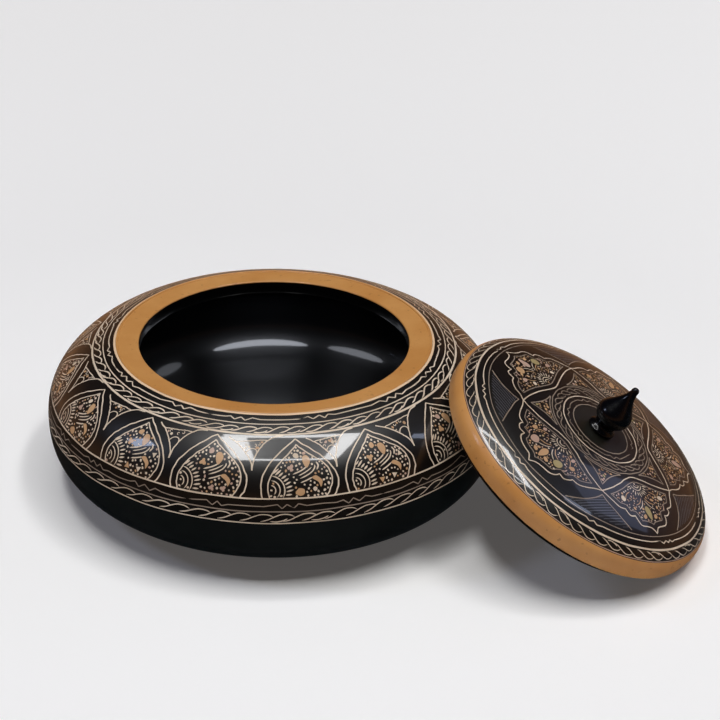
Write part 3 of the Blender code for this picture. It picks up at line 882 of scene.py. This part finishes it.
def medallion_edge(a0, a1, rng):
    """Outer, cusped edge of a medallion from one corner to the next."""
    span = a1 - a0
    runs = [np.array(part) for part in LOBES]
    for part in LOBES[::-1]:
        m = np.array(part)[::-1].copy()
        m[:, 0] = 1.0 - m[:, 0]
        runs.append(m)
    out = []
    for part in runs:
        n = len(part)
        between = (np.arange(n) > 0) & (np.arange(n) < n - 1)
        shake = np.c_[rng.uniform(-0.006, 0.006, n), rng.uniform(-0.2, 0.2, n)]
        c = catmull(part + shake * between[:, None], 6)
        out.append(polar(c[:, 1], a0 + span * c[:, 0])[:-1])
    return np.vstack(out + [polar([VERTEX_R], [a1])])


# pieces round a corner: degrees from it, radius
CORNER = [(0.0, 33.5), (4.6, 29.3), (11.5, 26.2), (20.5, 24.5)]
FAN_LOW = [(0.3, 38.9), (-3.5, 41.9), (-8.7, 45.3), (-13.6, 47.9), (-18.0, 50.2)]
FAN_HIGH = [(0.3, 38.9), (4.0, 41.2), (9.0, 43.8), (13.2, 46.6), (17.6, 49.8)]


def spokes(table, angle, flip=1.0):
    """A table of degrees and radii, set round the given angle."""
    t = np.array(table)
    return polar(t[:, 1], angle + flip * t[:, 0])


def draw_lid():
    rng = np.random.default_rng(97)
    draw = Drawing(lid_skin)

    def ring_to_xy(p):
        return polar(p[:, 1], p[:, 0])

    lid_circle(draw, GOLD_R - 0.1, 0.34, rng, 0.04, ink=PINK)
    chain(draw, LID_CHAIN_R, 1.18, 64, rng, 0.31, ring_to_xy, -1.0, 0.35)
    lid_circle(draw, LID_BOLD_R, 0.78, rng, 0.07)
    broken(draw, wave_path(LID_WAVE_R, 9, rng, 0.55, 1.7), 0.42, ring_to_xy, 0.93, rng, 0.0)
    lid_circle(draw, LID_FINE_R, 0.32, rng, 0.12, ink=DIM)
    lid_circle(draw, CENTRE_CURVE_R, 0.42, rng, 0.12, ink=DIM)
    chain(draw, CENTRE_CHAIN_R, 1.25, 28, rng, 0.38, ring_to_xy, -1.0, 0.8, DIM)
    lid_circle(draw, CENTRE_BOLD_R, 0.50, rng, 0.08)
    broken(draw, wave_path(CENTRE_SCRIBBLE_R, 6, rng, 0.6, 6.0), 0.34, ring_to_xy, 0.27, rng, 0.4, DIM)
    lid_circle(draw, DISC_R, 0.42, rng, 0.05, ink=DIM)
    for k in range(5):
        a0 = VERTEX_ANGLES[k]
        a1 = VERTEX_ANGLES[k + 1] if k < 4 else VERTEX_ANGLES[0] + 360.0
        mid = 0.5 * (a0 + a1)
        side = side_curve(a0, a1)
        draw.line(side + wobble(len(side), rng, 0.07, 3, False)[:, None], 0.48)
        outer = medallion_edge(a0, a1, rng)
        draw.line(outer, 0.46)
        # inner outline: both edges moved in, closed where they meet
        edge = np.vstack([outer[2:-2], side[2:-2][::-1]])
        inner = inset(edge, 2.3)
        near = distance_to(inner, np.vstack([edge, edge[:1]]))
        inner = inner[near > 2.1]
        draw.line(inner, 0.38, DIM, closed=True)
        turn = math.radians(mid - 90.0)
        c, s_ = math.cos(turn), math.sin(turn)
        base = SIDE_MID_R + 2.6

        def unturn(p, c=c, s_=s_, base=base):
            q = np.c_[c * p[:, 0] + s_ * p[:, 1], -s_ * p[:, 0] + c * p[:, 1]]
            return q - (0.0, base)

        def to_xy(p, c=c, s_=s_, base=base):
            q = np.asarray(p) + (0.0, base)
            return np.c_[c * q[:, 0] - s_ * q[:, 1], s_ * q[:, 0] + c * q[:, 1]]

        medallion_fill(Field(draw, to_xy, unturn(inner), rng), k)
        # field inside the corner at a0
        left, right = catmull(spokes(CORNER, a0, -1.0), 6), catmull(spokes(CORNER, a0), 6)
        base_arc = polar(np.full(12, CENTRE_CURVE_R + 1.1), np.linspace(a0 + 20.5, a0 - 20.5, 12))
        corner = np.vstack([right, base_arc, left[::-1][:-1]])
        draw.line(corner, 0.42, DIM, closed=True)
        beads = (CREAM, TAN, TAN, PINK, OLIVE)
        scatter(Field(draw, lambda p: p, corner, rng), 1.30, (0.40, 0.66), beads, ink=TAN)
        # hatched fan outside the corner
        low, high = catmull(spokes(FAN_LOW, a0), 6), catmull(spokes(FAN_HIGH, a0), 6)
        draw.line(low, 0.42, DIM)
        draw.line(high, 0.42, DIM)
        rim = polar(np.full(14, 50.2), np.linspace(a0 - 18.0, a0 + 17.6, 14))
        fan = np.vstack([low, rim, high[::-1]])
        way = low[-1] - low[0]
        way /= np.hypot(*way)
        for q in range(12):
            start = high[0] + (high[-1] - high[0]) * (q + 1.0) / 13.0
            steps = start[None] + way[None] * np.linspace(-1.5, 19.0, 50)[:, None]
            steps = steps[inside(steps, inset(fan, 0.35))]
            if len(steps) > 4:
                draw.line(steps, 0.22, GREY)
    return draw


bowl_marks = draw_bowl().build("bowl_engraving", INKS)
lid_marks = draw_lid().build("lid_engraving", INKS)

PIECES = [(bowl, "bowl", "bowl_lacquer"), (bowl_marks, "bowl", "bowl_lacquer"), (lid, "lid", "lid_lacquer"),
          (lid_marks, "lid", "lid_lacquer"), (knob, "lid", "knob_lacquer")]
for obj, body, slot in PIECES:
    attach(obj, body)
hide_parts("bowl_body")
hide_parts("lid")
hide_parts("knob")


# ---------- stage, light, camera
def plain(name, colour, roughness):
    m = bpy.data.materials.new(name)
    m.use_nodes = True
    p = m.node_tree.nodes["Principled BSDF"]
    p.inputs["Base Color"].default_value = (*colour, 1.0)
    p.inputs["Roughness"].default_value = roughness
    return m


def warm_in_gloss(m):
    """Pale to look at and as bounce light; dark in front and warm behind where lacquer mirrors it."""
    nodes, links = m.node_tree.nodes, m.node_tree.links
    coord, split = nodes.new("ShaderNodeTexCoord"), nodes.new("ShaderNodeSeparateXYZ")
    links.new(coord.outputs["Object"], split.inputs[0])
    depth = nodes.new("ShaderNodeMapRange")
    depth.inputs["From Min"].default_value, depth.inputs["From Max"].default_value = -0.05, 0.35
    links.new(split.outputs["Y"], depth.inputs["Value"])
    ramp = nodes.new("ShaderNodeValToRGB")
    set_ramp(ramp, ((0.0, FLOOR_FRONT), (1.0, FLOOR_BACK)))
    links.new(depth.outputs["Result"], ramp.inputs["Fac"])
    mirrored, fill = nodes.new("ShaderNodeEmission"), nodes.new("ShaderNodeEmission")
    both = nodes.new("ShaderNodeAddShader")
    links.new(ramp.outputs["Color"], mirrored.inputs["Color"])
    away, share = nodes.new("ShaderNodeVectorMath"), nodes.new("ShaderNodeMath")
    glow = nodes.new("ShaderNodeValToRGB")
    away.operation, share.operation = "LENGTH", "MULTIPLY"
    share.inputs[1].default_value = 1.0 / GLOW_REACH
    links.new(coord.outputs["Object"], away.inputs[0])
    links.new(away.outputs["Value"], share.inputs[0])
    links.new(share.outputs[0], glow.inputs["Fac"])
    set_ramp(glow, [(share_at, (level,) * 3) for share_at, level in GLOW_LEVELS])
    links.new(glow.outputs["Color"], fill.inputs["Color"])
    links.new(nodes["Principled BSDF"].outputs[0], both.inputs[0])
    links.new(fill.outputs[0], both.inputs[1])
    rays, mix = nodes.new("ShaderNodeLightPath"), nodes.new("ShaderNodeMixShader")
    links.new(rays.outputs["Is Glossy Ray"], mix.inputs["Fac"])
    links.new(both.outputs[0], mix.inputs[1])
    links.new(mirrored.outputs[0], mix.inputs[2])
    links.new(mix.outputs[0], nodes["Material Output"].inputs["Surface"])


# what lacquer mirrors of the floor, in front of the bowl and behind it
FLOOR_FRONT, FLOOR_BACK = (0.020, 0.026, 0.030), (0.36, 0.175, 0.080)
# the floor's own faint light grows with distance, so that it meets the backdrop without an edge:
# metres at full reach, then share of the reach and level
GLOW_REACH, GLOW_LEVELS = 4.0, ((0.07, 0.07), (0.28, 0.36), (0.85, 0.93))
floor_mesh = bpy.data.meshes.new("floor")
floor_mesh.from_pydata([(-6, -6, 0), (6, -6, 0), (6, 6, 0), (-6, 6, 0)], [], [(0, 1, 2, 3)])
floor = bpy.data.objects.new("floor", floor_mesh)
pale = plain("pale_floor", (0.96, 0.955, 0.95), 0.8)
warm_in_gloss(pale)
floor_mesh.materials.append(pale)
bpy.context.scene.collection.objects.link(floor)

# colours of the room that gloss picks up, from level with the bowl to overhead
ROOM_STOPS = ((0.0, (0.26, 0.125, 0.060)), (0.16, (0.20, 0.095, 0.045)),
              (0.40, (0.022, 0.016, 0.014)), (0.85, (0.008, 0.008, 0.010)))


def studio_world():
    """Pale backdrop to look at; round the object a dim warm room that its gloss picks up."""
    world = bpy.data.worlds.new("studio")
    world.use_nodes = True
    nodes, links = world.node_tree.nodes, world.node_tree.links
    nodes.clear()
    out = nodes.new("ShaderNodeOutputWorld")
    mix = nodes.new("ShaderNodeMixShader")
    rays = nodes.new("ShaderNodeLightPath")
    seen, room = nodes.new("ShaderNodeBackground"), nodes.new("ShaderNodeBackground")
    seen.inputs["Color"].default_value = (0.97, 0.97, 0.97, 1.0)
    coord, split = nodes.new("ShaderNodeTexCoord"), nodes.new("ShaderNodeSeparateXYZ")
    ramp = nodes.new("ShaderNodeValToRGB")
    links.new(coord.outputs["Generated"], split.inputs[0])
    links.new(split.outputs["Z"], ramp.inputs["Fac"])
    set_ramp(ramp, ROOM_STOPS)
    links.new(ramp.outputs["Color"], room.inputs["Color"])
    links.new(rays.outputs["Is Camera Ray"], mix.inputs["Fac"])
    links.new(room.outputs[0], mix.inputs[1])
    links.new(seen.outputs[0], mix.inputs[2])
    links.new(mix.outputs[0], out.inputs["Surface"])
    bpy.context.scene.world = world


def lamp(name, place, turn, size, radiance, colour=(1.0, 1.0, 1.0), shape="RECTANGLE"):
    """Area lamp given by the brightness of its face."""
    data = bpy.data.lights.new(name, "AREA")
    data.shape = shape
    data.size, data.size_y = size
    data.energy = radiance * math.pi * size[0] * size[1]
    data.color = colour
    obj = bpy.data.objects.new(name, data)
    obj.location, obj.rotation_euler = place, turn
    bpy.context.scene.collection.objects.link(obj)


def window(name, toward, distance, size, radiance, colour, aim=(0.03, -0.03, 0.03)):
    """Lamp that faces the point aim, from the given direction and distance."""
    way = Vector(toward).normalized()
    turn = (-way).to_track_quat("-Z", "Y").to_euler()
    lamp(name, Vector(aim) + way * distance, turn, size, radiance, colour)


studio_world()
# overhead softbox, a bright frame round a darker middle: place in metres, size, brightness
TOP_Z = 2.0
TOP_STRIPS = (("top_back", 0.20, 0.20, 1.30, 0.10, 17.0), ("top_front", 0.20, -0.74, 1.30, 0.08, 17.0),
              ("top_left", -0.37, -0.27, 0.26, 0.86, 18.0), ("top_right", 0.74, -0.27, 0.22, 0.86, 18.0))
for name, x, y, w, h, bright in TOP_STRIPS:
    lamp(name, (x, y, TOP_Z), (0.0, 0.0, 0.0), (w, h), bright)
SKY, HAZE, BOUNCE = (0.55, 0.64, 1.0), (0.66, 0.75, 1.0), (0.86, 0.90, 1.0)
window("window_right", (0.80, 0.34, 0.46), 2.4, (0.80, 0.72), 0.9, SKY)
window("window_side", (0.75, 0.06, 0.65), 2.0, (0.13, 0.30), 5.0, HAZE)
window("window_left", (-0.72, -0.02, 0.69), 2.0, (0.24, 0.42), 11.0, HAZE, (-0.052, -0.073, 0.053))
# soft light gathered under the shoulder, which the hollow mirrors as crescents: place in mm,
# length, turn in degrees, brightness
GATHER_Z, GATHER_W = 42.0, 5.2
GATHERED = (("gather_far", -40.5, 73.5, 11.0, 28.0, 1.8), ("gather_left", -5.0, 78.5, 34.0, 2.0, 10.0),
            ("gather_right", 28.5, 73.5, 20.0, -21.0, 4.4))
for name, x, y, w, turn, bright in GATHERED:
    lamp(name, (x * MM, y * MM, GATHER_Z * MM), (0.0, 0.0, math.radians(turn)), (w * MM, GATHER_W * MM),
         bright, BOUNCE, "ELLIPSE")
bpy.context.scene.view_settings.view_transform = "Standard"

# camera, in pixels of the photo: focal length, and how far left of its middle the bowl's axis stands
PITCH, CAM_D, AIM_Z = math.radians(27.71), 0.621, 0.0517
PHOTO_W, FOCAL_PX, AXIS_PX = 720.0, 1407.0, 274.0
camera_data = bpy.data.cameras.new("camera")
camera_data.sensor_width = 36.0
camera_data.lens = 36.0 * FOCAL_PX / PHOTO_W
camera_data.shift_x = (0.5 * PHOTO_W - AXIS_PX) / PHOTO_W
camera_data.clip_start = 0.01
camera = bpy.data.objects.new("camera", camera_data)
look = Vector((0.0, math.cos(PITCH), -math.sin(PITCH)))
camera.location = Vector((0.0, 0.0, AIM_Z)) - look * CAM_D
camera.rotation_euler = look.to_track_quat("-Z", "Y").to_euler()
bpy.context.scene.collection.objects.link(camera)
bpy.context.scene.camera = camera

bpy.context.view_layer.update()
